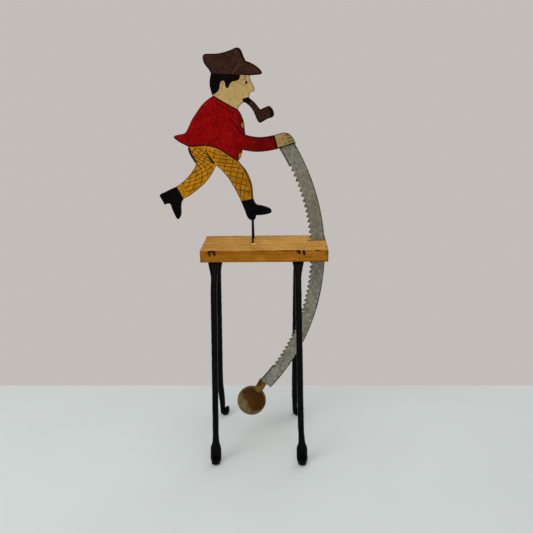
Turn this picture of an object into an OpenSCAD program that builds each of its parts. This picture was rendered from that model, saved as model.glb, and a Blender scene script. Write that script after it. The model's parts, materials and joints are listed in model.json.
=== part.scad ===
// Balancing man with a saw: a flat wooden figure stands on a wire fork and rocks on a plank with iron legs.
// Millimetres, +Z up, seen from -Y. The origin is on the floor, under the middle of the object.

/* [Plank] */
// Length of the plank, left to right
plank_l = 210; // [180:1:240]
// Depth of the plank, front to back
plank_d = 89; // [75:0.5:110]
// Thickness of the plank
plank_t = 20; // [15:0.5:25]
// Rounding of the plank's edges
plank_edge_r = 1.5; // [0.5:0.1:3]
// Height of the plank's top face above the floor
plank_top = 397; // [350:1:450]
// Distance of the pivot from the middle of the plank, to the right
pivot_offset = -20; // [-30:1:-10]
// Distance of the figure's plane behind the middle of the plank
figure_back = 12; // [8:1:16]
// Room beside the saw blade in the kerf, on each side
kerf_clear = 1.2; // [0.8:0.1:3]
// Room between the saw teeth and the inner end of the kerf
kerf_end_gap = 3; // [2:0.5:8]

/* [Legs] */
// Diameter of the iron rod
leg_d = 11; // [9:0.5:13]
// Diameter of the rear rods, which are the stouter ones
rear_leg_d = 12.5; // [10:0.5:14]
// How far the front right rod bows to the left on its way down
bow_front_right = 1; // [0:0.5:3]
// How far the rear left rod bows to the left on its way down
bow_rear_left = 4; // [0:0.5:6]
// How far the rear right rod bows to the left on its way down
bow_rear_right = 0.5; // [0:0.5:3]
// Distance of the left legs from the plank's left end
leg_inset_left = 21; // [15:1:30]
// Distance of the right legs from the plank's right end
leg_inset_right = 49; // [45:1:55]
// Distance of the legs from the plank's long edges, at the top
leg_inset_edge = 6; // [5:0.5:10]
// How far in front of or behind the plank's edge the feet stand
leg_splay = 31.5; // [20:0.5:40]
// How far the front left leg leans to the left
lean_front_left = 10; // [0:1:16]
// How far the front right leg leans to the right
lean_front_right = 7; // [0:1:16]
// How far the rear left leg leans to the left
lean_rear_left = 7; // [0:1:16]
// How far the rear right leg leans to the right
lean_rear_right = 3; // [0:1:16]
// Width of the flattened tab under the plank
tab_w = 19; // [16:0.5:24]
// Thickness of the flattened tab
tab_t = 4; // [3:0.5:5]
// Length of the tab under the plank
tab_l = 26; // [22:1:30]
// Width of the flattened foot
foot_w = 20; // [16:0.5:23]
// Thickness of the flattened foot
foot_t = 7.5; // [6:0.5:9]
// Radius of the foot's curl, along the middle of the bar
foot_curl_r = 5; // [4.5:0.5:7]
// Width of the foot's narrow tip
foot_tip_w = 12.5; // [9:0.5:14]
// Height of the curl's straight tip
foot_tip_h = 5; // [2:0.5:10]
// Height above the floor where the rod starts to flatten
foot_flare_h = 58; // [48:1:68]
// Depth of the flat that is ground on each sole and on each tab
flat_depth = 0.5; // [0.3:0.1:1]

/* [Leg screws] */
// Shank diameter of the wood screws
screw_d = 4; // [3:0.5:5]
// Length of the shank above the tab
screw_l = 13; // [9:0.5:14]
// Head diameter of the wood screws
screw_head_d = 8; // [7:0.5:10]
// Head height of the wood screws
screw_head_h = 2.4; // [1.5:0.1:3.5]
// Room around the shank in the tab
screw_clear = 0.25; // [0.1:0.05:0.5]

/* [Man] */
// Height of the man, from the heel to the top of the cap
man_h = 272; // [255:1:290]
// Thickness of the man's board
man_t = 6.4; // [6:0.1:8]

/* [Pivot fork] */
// Diameter of the bent wire
fork_d = 3.4; // [2.5:0.1:4]
// Distance between the two tips of the fork
fork_spread = 27; // [22:1:32]
// Height of the man's heel above the pivot
heel_free = 36.5; // [32:0.5:42]
// Height of the wire's hole above the heel
fork_hole_h = 8; // [7:0.5:11]
// Height of the round tips' centres above the plank
tip_lift = 0.6; // [0.5:0.05:0.8]
// Running clearance of the tips in their dimples
tip_clear = 0.05; // [0.02:0.01:0.1]

/* [Saw] */
// Width of the blade
saw_w = 25.5; // [24:0.5:29]
// Thickness of the blade
saw_t = 1.5; // [1.2:0.1:2]
// Radius of the blade's outer edge above its belly
saw_upper_r = 375; // [355:1:395]
// Radius of the blade's outer edge below its belly
saw_lower_r = 408; // [390:1:430]
// Angle of the blade's arc from the belly up to the hand
saw_upper_angle = 31; // [29:0.1:33]
// Angle of the blade's arc from the belly down to its end
saw_lower_angle = 40.5; // [38:0.1:43]
// Distance between two teeth
tooth_pitch = 9.1; // [8:0.1:12]
// Depth of the teeth
tooth_depth = 4.6; // [2:0.1:6]
// How far the teeth point down the blade, as a share of their distance
tooth_rake = 0.2; // [0:0.02:0.3]
// How unevenly the teeth were cut by hand
tooth_wander = 0.5; // [0:0.1:1]
// Plain edge between the hand and the first tooth
plain_top = 28; // [20:1:60]
// Plain edge between the last tooth and the blade's end
plain_end = 38; // [20:1:60]
// Width of the tang inside the hand
tang_w = 11; // [8:0.5:12]
// Length of the tang inside the hand
tang_l = 18; // [14:0.5:19]
// Width of the tongue inside the dowel
tongue_w = 8; // [6:0.5:9]
// Length of the tongue inside the dowel
tongue_l = 12; // [9:0.5:14]
// Room around tang and tongue in their slots
slot_clear = 0.1; // [0.05:0.05:0.2]
// Diameter of the brads
brad_d = 1.6; // [1.2:0.1:2]
// Diameter of the brads' heads
brad_head_d = 2.6; // [2.2:0.1:3.2]
// Height of the brads' heads
brad_head_h = 0.5; // [0.3:0.1:0.8]

/* [Ball] */
// Diameter of the wooden ball
ball_d = 55; // [46:0.5:58]
// Flat on the bottom of the ball
ball_flat_d = 12; // [6:1:20]
// Diameter of the dowel
dowel_d = 16; // [14:0.5:18]
// Free length of the dowel between the blade's end and the ball
dowel_free = 19.5; // [16:0.5:26]
// Length of the dowel inside the ball
dowel_hold = 16; // [10:1:20]
// Angle of the dowel from plumb
dowel_tilt = 29; // [26:0.5:34]
// Distance of the dowel from the middle of the blade's end, to the toothed side
dowel_offset = 6; // [3:0.5:8]
// Glue gap around the dowel in the ball
glue_gap = 0.05; // [0.02:0.01:0.1]

/* [Hidden] */
$fn = 64;
far = 100;

// The outline of the man, drawn 268 mm high: X from the pivot, Y up from the heel.
// Each run is a smooth curve, and two runs meet at a corner.
drawn_h = 268;
cap = [[-58, 232], [-61, 238], [-66, 244], [-69, 251], [-69, 257], [-65, 260], [-50, 260],
       [-38, 261.5], [-26, 265], [-18, 268], [-13, 267], [-10, 263], [-7, 255], [-4, 249]];
brim = [[-4, 249], [3, 246.5], [11, 242], [17, 237], [20, 233], [20, 230.5], [17, 229], [10, 228.5], [1, 228]];
face = [[1, 228], [2.5, 222], [5, 216], [7.6, 210.5], [8.4, 206.8], [6.6, 204.4], [2, 203.6], [0.6, 200],
        [-1, 196]];
pipe_top = [[-1, 196], [3, 192.5], [9.5, 186.5], [14, 180.5], [17, 177.5]];
pipe_bowl = [[17, 177.5], [22, 180], [27, 182], [31, 182.5], [35, 179], [37.5, 174], [38, 169], [35, 165.5],
             [29, 164], [23, 161], [18, 158], [14.5, 158], [12, 161], [10, 165], [6, 175], [1.5, 181.5],
             [-4.5, 187], [-8.5, 189]];
chin = [[-8.5, 189], [-14, 185.5], [-19, 179]];
chest = [[-19, 179], [-14.5, 172], [-11.5, 164.5], [-9.5, 157], [-9, 148], [-8, 139.5]];
arm_top = [[-8, 139.5], [0.5, 137], [13, 135.3], [24, 135.8], [38, 138], [45, 140], [52, 141.5],
           [58, 141], [63, 138.5], [66.5, 135], [69.5, 130.5], [72, 125]];
arm_under = [[44, 117], [35, 115], [25, 113.5], [12.5, 112.5], [0, 113.5], [-13, 116]];
coat_front = [[-13, 116], [-14.5, 110], [-17, 103], [-21, 99]];
front_leg = [[-21, 99], [-17, 93], [-9.5, 84], [-3.5, 72], [0.5, 58.5], [1.5, 47], [2, 37], [4, 30.5], [8, 26],
             [15, 24.5], [23.5, 22], [29.5, 19], [32, 15], [30, 12], [23.5, 10], [13.5, 8.5]];
heel = [[6.5, 8.5], [5.5, 5], [3.5, 1], [-2, 0], [-6.5, 2.5], [-9.5, 7.5], [-11, 12], [-14.5, 22], [-18.5, 33],
        [-25, 48], [-31.5, 60.5], [-39, 73], [-50, 86], [-57, 91.5]];
rear_leg = [[-57, 91.5], [-61, 84], [-68.5, 72.5], [-79, 61], [-91, 51.5], [-103, 43], [-112.5, 38], [-117.5, 31],
            [-119, 23], [-119.5, 12], [-122, 5.5], [-125, 3], [-128, 5.5], [-131.5, 14], [-134.5, 22.5],
            [-135.5, 27.5], [-139, 30], [-146, 28]];
rear_heel = [[-146, 28], [-150, 37], [-153, 43], [-151.5, 45.5], [-146, 48], [-134, 53.5], [-122, 59],
             [-110, 68], [-99, 79], [-92, 88.5], [-89.5, 95]];
seat = [[-89.5, 95], [-93, 100], [-97, 107], [-100, 114.5], [-101, 123]];
coat_back = [[-101, 123], [-107, 126], [-115, 130.5], [-122, 136.5], [-121, 139.5], [-111, 141.5], [-105, 143],
             [-101, 147], [-97, 154], [-92, 163.5], [-85, 173], [-75, 185.5], [-65, 194], [-57, 199]];
hair = [[-57, 199], [-59, 206], [-60.5, 213], [-60.5, 221], [-58, 232]];
man_runs = [cap, brim, face, pipe_top, pipe_bowl, chin, chest, arm_top, arm_under, coat_front, front_leg, heel,
            rear_leg, rear_heel, seat, coat_back, hair];
man_left = -153;
curve_steps = 3;

// The man's scale, and the hand's lower edge where the saw comes out
man_scale = man_h / drawn_h;
hand_left = man_scale * arm_under[0] + [0, heel_free];
hand_right = man_scale * arm_top[len(arm_top) - 1] + [0, heel_free];
hand = (hand_left + hand_right) / 2;
hand_slope = atan2(hand_right.y - hand_left.y, hand_right.x - hand_left.x);

// The blade's two arcs meet at its belly and share a plumb tangent there
saw_upper_mid = saw_upper_r - saw_w / 2;
saw_lower_mid = saw_lower_r - saw_w / 2;
saw_upper_in = saw_upper_r - saw_w;
saw_lower_in = saw_lower_r - saw_w;
belly = hand + saw_upper_mid * [1 - cos(saw_upper_angle), -sin(saw_upper_angle)];
upper_centre = belly - [saw_upper_mid, 0];
lower_centre = belly - [saw_lower_mid, 0];
saw_end = lower_centre + saw_lower_mid * [cos(saw_lower_angle), -sin(saw_lower_angle)];
saw_end_heading = [-sin(saw_lower_angle), -cos(saw_lower_angle)];

// The tang's angle on the upper arc, and how far the arc runs on under the hand before it is cut
tang_angle = arc_angle(tang_l, saw_upper_mid);
hand_cut_angle = 4;

// The brads are in the middle of the tang, a quarter of its length from its ends, and in the tongue
hand_brad_places = [for (share = [0.25, 0.75]) on_upper_arc(saw_upper_angle + share * tang_angle)];
dowel_start = saw_end + dowel_offset * [-cos(saw_lower_angle), sin(saw_lower_angle)];
dowel_brad_place = dowel_start + tongue_l / 2 * saw_end_heading;
dowel_brad_l = dowel_d - 2 * brad_head_h;

// The dowel leans by its own angle, so its top is cut askew along the blade's end
dowel_skew = dowel_d / 2 * tan(saw_lower_angle - dowel_tilt);
ball_from_start = dowel_free + ball_d / 2;
ball_hole_floor = ball_d / 2 - dowel_hold;

// Places on the stand
plank_under = plank_top - plank_t;
leg_out = plank_d / 2 - leg_inset_edge;
foot_out = plank_d / 2 + leg_splay;
left_x = -plank_l / 2 + leg_inset_left;
right_x = plank_l / 2 - leg_inset_right;
tab_z = plank_under - tab_t / 2 + flat_depth;
curl_z = foot_t / 2 + foot_curl_r - flat_depth;
// Thickness of a rear leg where its hook starts and at the hook's tip
hook_t = foot_curl_r * 1.8;
hook_tip_t = foot_curl_r * 1.5;
screw_in = leg_out - tab_l * 0.6;
screw_grip = tab_t - flat_depth;
screw_taper = screw_d * 0.9;

// A leg's section has this many sides, and is a little squarer than round; its foot curls half a turn
bar_sides = 16;
bar_squareness = 2.6;
curl_turns = [30, 60, 90, 120, 150, 180];

// The whole object is centred over the origin
reach_left = min(pivot_offset + man_scale * man_left, -plank_l / 2);
reach_right = max(pivot_offset + belly.x + saw_w / 2, plank_l / 2);
stand_x = -(reach_left + reach_right) / 2;
pivot = [stand_x + pivot_offset, figure_back, plank_top + tip_lift];

// The fork's wire lies on the man's two faces at its hole, and its legs spread from there to the tips
fork_top = heel_free + fork_hole_h;
fork_in = man_t / 2 + fork_d / 2 + glue_gap;
fork_lean = atan2(fork_spread / 2 - fork_in, fork_top);
fork_leg_l = fork_top / cos(fork_lean);

// The kerf ends short of the teeth, anywhere in the plank's thickness
kerf_x = pivot.x + min(inner_edge_x(-tip_lift), inner_edge_x(-tip_lift - plank_t)) - kerf_end_gap;
kerf_w = saw_t + 2 * kerf_clear;

function arc_angle(length, r) = length / r * 180 / PI;
function on_upper_arc(a) = upper_centre + saw_upper_mid * [cos(a), sin(a)];
function inner_edge_x(z) =
    z > belly.y
        ? upper_centre.x + sqrt(pow(saw_upper_in, 2) - pow(z - upper_centre.y, 2))
        : lower_centre.x + sqrt(pow(saw_lower_in, 2) - pow(z - lower_centre.y, 2));

// A smooth curve through a list of points of any dimension
function curve_point(a, b, c, d, t) =
    b + t / 2 * ((c - a) + t * ((2 * a - 5 * b + 4 * c - d) + t * (3 * b - a - 3 * c + d)));
function curve(p, steps) =
    concat([for (i = [0 : len(p) - 2])
        for (k = [0 : steps - 1])
            curve_point(p[max(i - 1, 0)], p[i], p[i + 1], p[min(i + 2, len(p) - 1)], k / steps)],
        [p[len(p) - 1]]);

// A bar of changing section along a path: each ring is [x, y, z, size across, size through]
function unit(v) = v / norm(v);
function place(r) = [r[0], r[1], r[2]];
function heading(r, i) = unit(place(r[min(i + 1, len(r) - 1)]) - place(r[max(i - 1, 0)]));
function carry(r, u, i = 0) =
    i == len(r) ? [] :
    let (t = heading(r, i), w = unit(u - (u * t) * t)) concat([w], carry(r, w, i + 1));
function swell(c) = sign(c) * pow(abs(c), 2 / bar_squareness);
function ring(r, u, i) =
    let (v = cross(heading(r, i), u))
    [for (k = [0 : bar_sides - 1])
        let (a = 360 * k / bar_sides)
        place(r[i]) + u * r[i][3] / 2 * swell(cos(a)) + v * r[i][4] / 2 * swell(sin(a))];

module bar(r, across) {
    u = carry(r, across);
    last = len(r) - 1;
    points = [for (i = [0 : last]) each ring(r, u[i], i)];
    sides = [for (i = [0 : last - 1])
        for (k = [0 : bar_sides - 1])
            let (a = i * bar_sides + k, b = i * bar_sides + (k + 1) % bar_sides)
            each [[a, a + bar_sides, b], [b, a + bar_sides, b + bar_sides]]];
    near_cap = [for (k = [0 : bar_sides - 1]) k];
    far_cap = [for (k = [bar_sides - 1 : -1 : 0]) last * bar_sides + k];
    polyhedron(points, concat([near_cap], sides, [far_cap]));
}

// The rings of a leg with its top at x: out is -1 in front and 1 behind
function leg_top(x, out) = [
    [x, out * (leg_out - tab_l), tab_z, tab_w * 0.8, tab_t],
    [x, out * (leg_out - tab_l * 0.7), tab_z, tab_w, tab_t],
    [x, out * (leg_out - leg_d), tab_z, tab_w, tab_t],
    [x, out * (leg_out - leg_d * 0.2), tab_z - leg_d * 0.2, tab_w, tab_t * 1.2],
    [x, out * leg_out, tab_z - leg_d, tab_w * 0.8, tab_t * 1.7],
    [x, out * (leg_out + leg_d * 0.1), tab_z - leg_d * 2.5, leg_d, leg_d]];

function along(top, foot, z) = top + (foot - top) * (top.z - z) / (top.z - foot.z);
// The share of a rod's bow that it has at each share of its length
bow_shares = [[0.16, 0.65], [0.5, 0.8], [0.9, 1], [1, 0.5]];
function rod(top, foot, d, bow) =
    [for (s = bow_shares)
        concat(along(top, foot, top.z + s[0] * (foot_flare_h - top.z)) - [bow * s[1], 0, 0], [d, d])];

function front_rings(x, lean, bow) =
    let (top = [x, -leg_out, tab_z], foot = [x + lean, foot_curl_r - foot_out, curl_z])
    concat(leg_top(x, -1), rod(top, foot, leg_d, bow),
        [concat(along(top, foot, foot_flare_h * 0.7), [leg_d * 1.2, leg_d * 0.95]),
         concat(along(top, foot, foot_flare_h * 0.53), [foot_w * 0.95, (leg_d + foot_t) / 2]),
         concat(along(top, foot, foot_flare_h * 0.32), [foot_w, foot_t * 1.1]),
         concat(foot, [foot_w, foot_t])],
        [for (a = curl_turns)
            [foot.x, foot.y - foot_curl_r * (1 - cos(a)), curl_z - foot_curl_r * sin(a),
             foot_w + (foot_tip_w - foot_w) * a / 180, foot_t]],
        [[foot.x, foot.y - 2 * foot_curl_r, curl_z + foot_tip_h, foot_tip_w, foot_t * 0.9]]);

function rear_rings(x, lean, bow) =
    let (top = [x, leg_out, tab_z], foot = [x + lean - foot_curl_r * 1.25, foot_out, curl_z])
    concat(leg_top(x, 1), rod(top, foot, rear_leg_d, bow),
        [concat(along(top, foot, foot_flare_h * 0.45), [leg_d, leg_d * 1.1]),
         concat(foot, [hook_t, foot_w * 0.74])],
        [for (a = curl_turns)
            [foot.x + foot_curl_r * (1 - cos(a)), foot.y, curl_z - foot_curl_r * sin(a),
             hook_t + (hook_tip_t - hook_t) * a / 180, foot_w * 0.74]],
        [[foot.x + 2 * foot_curl_r, foot.y, curl_z + foot_tip_h * 1.6, hook_tip_t, foot_tip_w]]);

// A leg is flat under the plank and on its sole, and its tab is drilled for a screw
module leg(rings, x, out) {
    translate([stand_x, 0, 0])
        difference() {
            bar(curve(rings, curve_steps), [1, 0, 0]);
            translate([x - far / 2, -far, plank_under]) cube([far, 2 * far, far]);
            translate([x - far / 2, -far, -far]) cube([far, 2 * far, far]);
            translate([x, out * screw_in, plank_under - far / 2])
                cylinder(d = screw_d + 2 * screw_clear, h = far);
        }
}

module leg_front_left() {
    color("#15161a") leg(front_rings(left_x, -lean_front_left, 0), left_x, -1);
}

module leg_front_right() {
    color("#15161a") leg(front_rings(right_x, lean_front_right, bow_front_right), right_x, -1);
}

module leg_rear_left() {
    color("#15161a") leg(rear_rings(left_x, -lean_rear_left, bow_rear_left), left_x, 1);
}

module leg_rear_right() {
    color("#15161a") leg(rear_rings(right_x, lean_rear_right, bow_rear_right), right_x, 1);
}

module at_screws() {
    for (x = [left_x, right_x])
        for (out = [-1, 1])
            translate([stand_x + x, out * screw_in, plank_under]) children();
}

// A round-headed wood screw that points up, with its head's flat side at z = 0
module wood_screw() {
    shank_top = screw_grip + screw_l;
    rotate_extrude()
        polygon([[0, -screw_head_h], [screw_head_d * 0.3, -screw_head_h], [screw_head_d / 2, -screw_head_h * 0.4],
                 [screw_head_d / 2, 0], [screw_d / 2, 0], [screw_d / 2, shank_top - screw_taper], [0, shank_top]]);
}

module leg_screws() {
    color("dimgray") at_screws() translate([0, 0, -screw_grip]) wood_screw();
}

module rounded_rect(w, h, r) {
    square([w - 2 * r, h], center = true);
    square([w, h - 2 * r], center = true);
    for (x = [-1, 1])
        for (y = [-1, 1])
            translate([x * (w / 2 - r), y * (h / 2 - r)]) circle(r);
}

module plank_board() {
    intersection() {
        linear_extrude(plank_t, center = true) rounded_rect(plank_l, plank_d, plank_edge_r);
        rotate([90, 0, 0]) linear_extrude(plank_d, center = true) rounded_rect(plank_l, plank_t, plank_edge_r);
        rotate([90, 0, 90]) linear_extrude(plank_l, center = true) rounded_rect(plank_d, plank_t, plank_edge_r);
    }
}

module plank() {
    color("#b4823c")
        difference() {
            translate([stand_x, 0, plank_top - plank_t / 2]) plank_board();
            translate([kerf_x, pivot.y - kerf_w / 2, plank_under - far / 2]) cube([plank_l, kerf_w, far]);
            at_tips() sphere(fork_d / 2 + tip_clear);
            at_screws() cylinder(d = screw_d + 2 * glue_gap, h = screw_l + glue_gap);
        }
}

module at_tips() {
    for (side = [-1, 1])
        translate(pivot + [0, side * fork_spread / 2, 0]) rotate([side * fork_lean, 0, 0]) children();
}

// Puts a drawing of X to the right and Y up into the figure's plane, centred on its thickness
module in_plane(t) {
    translate(pivot) rotate([90, 0, 0]) translate([0, 0, -t / 2]) linear_extrude(t) children();
}

// A round bar across the figure's plane, at a place from the pivot, from one distance in front to another
module across_plane(at, d, back, front) {
    translate(pivot) rotate([90, 0, 0]) translate([at.x, at.y, back]) cylinder(d = d, h = front - back);
}

module sector(centre, inner_r, outer_r, from, to) {
    reach = 2 * outer_r;
    intersection() {
        translate(centre)
            difference() {
                circle(outer_r, $fn = 360);
                circle(inner_r, $fn = 360);
            }
        polygon([centre, centre + reach * [cos(from), sin(from)], centre + reach * [cos(to), sin(to)]]);
    }
}

// The blade's narrow upper end inside the hand, or its slot with some extra room
module tang(extra) {
    sector(upper_centre, saw_upper_mid - tang_w / 2 - extra, saw_upper_mid + tang_w / 2 + extra,
           saw_upper_angle - hand_cut_angle, saw_upper_angle + tang_angle + arc_angle(extra, saw_upper_mid));
}

// The blade's narrow lower end inside the dowel, or its slot with some extra room
module tongue(extra) {
    translate(dowel_start)
        rotate(90 - saw_lower_angle)
            translate([-tongue_l - extra, -tongue_w / 2 - extra])
                square([tongue_l + extra + tongue_w, tongue_w + 2 * extra]);
}

module brad_holes(places) {
    for (at = places)
        across_plane(at, brad_d + 2 * glue_gap, -far / 2, far / 2);
}

// Brads across the figure's plane, with their heads in front
module brads(places, l) {
    for (at = places) {
        across_plane(at, brad_d, -l / 2, l / 2);
        across_plane(at, brad_head_d, l / 2, l / 2 + brad_head_h);
    }
}

module man() {
    color("firebrick")
        difference() {
            in_plane(man_t)
                translate([0, heel_free])
                    scale(man_scale)
                        polygon([for (run = man_runs) each curve(run, curve_steps)]);
            in_plane(saw_t + 2 * slot_clear) tang(slot_clear);
            across_plane([0, fork_top], fork_d + 2 * glue_gap, -far / 2, far / 2);
            brad_holes(hand_brad_places);
        }
}

// One wire, bent over the man's board: two round tips, two legs and the bar through the hole
module pivot_fork() {
    color("#2a2a2c") {
        at_tips() {
            sphere(d = fork_d);
            cylinder(d = fork_d, h = fork_leg_l);
            translate([0, 0, fork_leg_l]) sphere(d = fork_d);
        }
        across_plane([0, fork_top], fork_d, -fork_in, fork_in);
    }
}

// One notch between two teeth, pointing into the blade along +X, a little uneven from tooth to tooth
module notch(i) {
    depth = tooth_depth + tooth_wander * sin(137 * i);
    valley = tooth_rake * tooth_pitch + tooth_wander * sin(71 * i);
    half = tooth_pitch * 0.46;
    polygon([[-tooth_depth, -half], [0, -half], [depth, valley], [0, half], [-tooth_depth, half]]);
}

module notches() {
    upper_step = arc_angle(tooth_pitch, saw_upper_in);
    lower_step = arc_angle(tooth_pitch, saw_lower_in);
    upper_last = saw_upper_angle - arc_angle(plain_top, saw_upper_in);
    lower_last = saw_lower_angle - arc_angle(plain_end, saw_lower_in);
    for (i = [0 : floor(upper_last / upper_step)])
        translate(upper_centre) rotate(i * upper_step) translate([saw_upper_in, 0]) notch(i);
    for (i = [1 : floor(lower_last / lower_step)])
        translate(lower_centre) rotate(-i * lower_step) translate([saw_lower_in, 0]) notch(-i);
}

module saw_blade() {
    color("#76786a")
        difference() {
            in_plane(saw_t) {
                difference() {
                    union() {
                        sector(upper_centre, saw_upper_in, saw_upper_r, 0, saw_upper_angle + hand_cut_angle);
                        sector(lower_centre, saw_lower_in, saw_lower_r, -saw_lower_angle, 0);
                    }
                    translate(hand) rotate(hand_slope) translate([-far, 0]) square([2 * far, far]);
                    notches();
                }
                tang(0);
                tongue(0);
            }
            brad_holes(hand_brad_places);
            brad_holes([dowel_brad_place]);
        }
}

module hand_brads() {
    color("#2a2a2c") brads(hand_brad_places, man_t);
}

// Puts a body of revolution on the dowel's axis, with the ball's centre at z = 0 and the blade up
module on_dowel_axis() {
    translate(pivot)
        translate([dowel_start.x, 0, dowel_start.y])
            rotate([0, dowel_tilt, 0])
                translate([0, 0, -ball_from_start])
                    children();
}

module ball() {
    flat_z = sqrt(pow(ball_d / 2, 2) - pow(ball_flat_d / 2, 2));
    color("#6b4a12")
        on_dowel_axis()
            difference() {
                sphere(d = ball_d);
                translate([0, 0, -flat_z - far]) cylinder(d = ball_d, h = far);
                translate([0, 0, ball_hole_floor]) cylinder(d = dowel_d + 2 * glue_gap, h = ball_d);
            }
}

// The dowel's top follows the blade's end, and a spot face in front seats the brad's head
module dowel() {
    color("#a07a30")
        difference() {
            on_dowel_axis()
                translate([0, 0, ball_hole_floor])
                    cylinder(d = dowel_d, h = dowel_hold + dowel_free + dowel_skew);
            in_plane(far)
                translate(dowel_start)
                    rotate(90 - saw_lower_angle)
                        translate([0, -far]) square([far, 2 * far]);
            in_plane(saw_t + 2 * slot_clear) tongue(slot_clear);
            brad_holes([dowel_brad_place]);
            across_plane(dowel_brad_place, brad_head_d + 2 * glue_gap, dowel_brad_l / 2, dowel_d);
        }
}

module dowel_brad() {
    color("#2a2a2c") brads([dowel_brad_place], dowel_brad_l);
}

plank();
leg_front_left();
leg_front_right();
leg_rear_left();
leg_rear_right();
leg_screws();
man();
pivot_fork();
saw_blade();
hand_brads();
ball();
dowel();
dowel_brad();
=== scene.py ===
"""Dresses a balancing toy: a painted board man on a wire fork, a curved saw with its ball, and their bench.

The solids of the frame give every place. This script adds worn wood, hand-laid paint and forged iron to them.
"""

import json
import math

import bmesh
import bpy
from bpy.props import FloatProperty, FloatVectorProperty, PointerProperty
from mathutils import Matrix, Vector, noise
from mathutils.bvhtree import BVHTree


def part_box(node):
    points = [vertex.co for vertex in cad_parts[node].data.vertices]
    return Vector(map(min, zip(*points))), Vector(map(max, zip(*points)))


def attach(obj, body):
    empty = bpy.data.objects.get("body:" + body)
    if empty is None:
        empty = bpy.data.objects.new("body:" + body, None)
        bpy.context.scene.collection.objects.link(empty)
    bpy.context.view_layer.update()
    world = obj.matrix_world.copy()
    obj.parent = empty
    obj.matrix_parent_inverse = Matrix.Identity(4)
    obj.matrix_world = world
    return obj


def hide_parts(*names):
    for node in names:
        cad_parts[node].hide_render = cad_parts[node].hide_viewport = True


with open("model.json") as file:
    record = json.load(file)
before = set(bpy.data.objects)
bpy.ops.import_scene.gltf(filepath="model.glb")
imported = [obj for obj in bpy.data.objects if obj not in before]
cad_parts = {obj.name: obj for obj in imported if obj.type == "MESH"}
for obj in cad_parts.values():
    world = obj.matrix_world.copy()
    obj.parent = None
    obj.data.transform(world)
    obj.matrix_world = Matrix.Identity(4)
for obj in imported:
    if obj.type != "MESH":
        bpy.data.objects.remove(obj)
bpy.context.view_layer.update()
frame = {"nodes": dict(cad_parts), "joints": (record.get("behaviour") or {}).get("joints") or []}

bl_info = {
    "name": "Balancing Man",
    "version": (1, 0, 0),
    "blender": (4, 5, 0),
    "location": "3D View > Sidebar > Balancing Man",
    "description": "Dresses a balancing board man with a saw and ball, and the bench that they rock on",
    "category": "Object",
}

MM = 0.001
PIVOT = Vector(frame["joints"][0]["pos_m"])
MAN_LOW, MAN_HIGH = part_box("man")
PLANK_LOW, PLANK_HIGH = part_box("plank")

# The man is drawn in figure units: X from the pivot, Y up from the heel, 268 to the 272 mm of the board
FIGURE = 272 / 268 * MM
HEEL_Z = PIVOT.z + 36.5 * MM

# The two painted faces of the man's board: the depth of each and the way that it looks
SIDES = ((MAN_LOW.y, -1), (MAN_HIGH.y, 1))


def srgb(red, green, blue):
    """A colour as it looks on a screen, 0 to 255, as the linear colour that a shader takes."""
    parts = (part / 255 for part in (red, green, blue))
    return (*(p / 12.92 if p <= 0.04045 else ((p + 0.055) / 1.055) ** 2.4 for p in parts), 1.0)


def colour(name, description, red, green, blue):
    """A colour that the user can change."""
    return FloatVectorProperty(name=name, description=description, default=srgb(red, green, blue),
                               subtype="COLOR", size=4, min=0.0, max=1.0)


def length(name, description, default, low, high):
    """A length in millimetres that the user can change."""
    return FloatProperty(name=name, description=description, default=default * MM, min=low * MM,
                         max=high * MM, precision=5, unit="LENGTH", subtype="DISTANCE")


def power(name, description, default):
    """A lamp's power in watts that the user can change."""
    return FloatProperty(name=name, description=description, default=default, min=0.0, unit="POWER")


class BenchSettings(bpy.types.PropertyGroup):
    """Sizes and colours of the plank and its four legs."""
    edge_round: length("Edge Round", "Radius of the plank's rounded edges", 1.1, 0.5, 3)
    edge_wear: length("Edge Wear", "Depth to which the plank's edges are rubbed down", 0.5, 0, 1.5)
    hammer: length("Hammer Marks", "Depth of the hammer marks in the forged legs", 0.4, 0, 0.8)
    wood: colour("Wood", "Waxed wood of the plank", 153, 98, 10)
    grain: colour("Grain", "Darker grain lines of the plank", 122, 70, 6)
    # This worn colour also paints the highlight streaks on the plank's top.
    worn: colour("Worn Wood", "Wood where the fork has rubbed the plank bare", 216, 172, 98)
    # Painted light: the plank's top takes this paler colour for the light and sheen that fall on it.
    top_light_and_tone: colour("Painted Top Light", "Paler wood of the plank's top, bleached by light", 196, 147, 68)
    # The dark wood of the plank's cuts is made from this colour, partly as painted shade of those recesses.
    dirt: colour("Dirt", "Old dirt in the plank's dents and along its edges", 38, 22, 10)
    iron: colour("Iron", "Blackened iron of the legs", 3, 3, 4)


class ManSettings(bpy.types.PropertyGroup):
    """Sizes and colours of the painted man and the fork."""
    edge_round: length("Edge Round", "Radius of the sanded edge of the man's board", 0.5, 0.2, 1)
    coat: colour("Coat", "Red paint of the coat", 132, 1, 2)
    trousers: colour("Trousers", "Ochre paint of the trousers", 178, 117, 1)
    skin: colour("Skin", "Pale paint of the face and the hand", 174, 147, 93)
    cap: colour("Cap", "Brown paint of the cap", 53, 31, 24)
    pipe: colour("Pipe", "Brown paint of the pipe", 48, 27, 18)
    black: colour("Black", "Black paint of the hair, the boots and the lines", 3, 3, 4)
    edge: colour("Edge", "Dark paint on the edges of the board", 30, 18, 12)
    wire: colour("Wire", "Steel of the fork", 8, 8, 9)


class SawSettings(bpy.types.PropertyGroup):
    """Colours of the saw, the dowel and the ball."""
    blade: colour("Blade", "Dull grey of the saw blade", 110, 109, 90)
    blade_edge: colour("Blade Edge", "Dark line along the blade's edges", 40, 40, 35)
    ball: colour("Ball", "Varnished wood of the ball", 116, 96, 54)
    # This colour also paints the shade on the ball's right side and top.
    ball_heart_and_shade: colour("Ball Heart", "Red heartwood of the ball", 61, 29, 0)
    dowel: colour("Dowel", "Plain wood of the dowel", 118, 90, 34)


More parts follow.
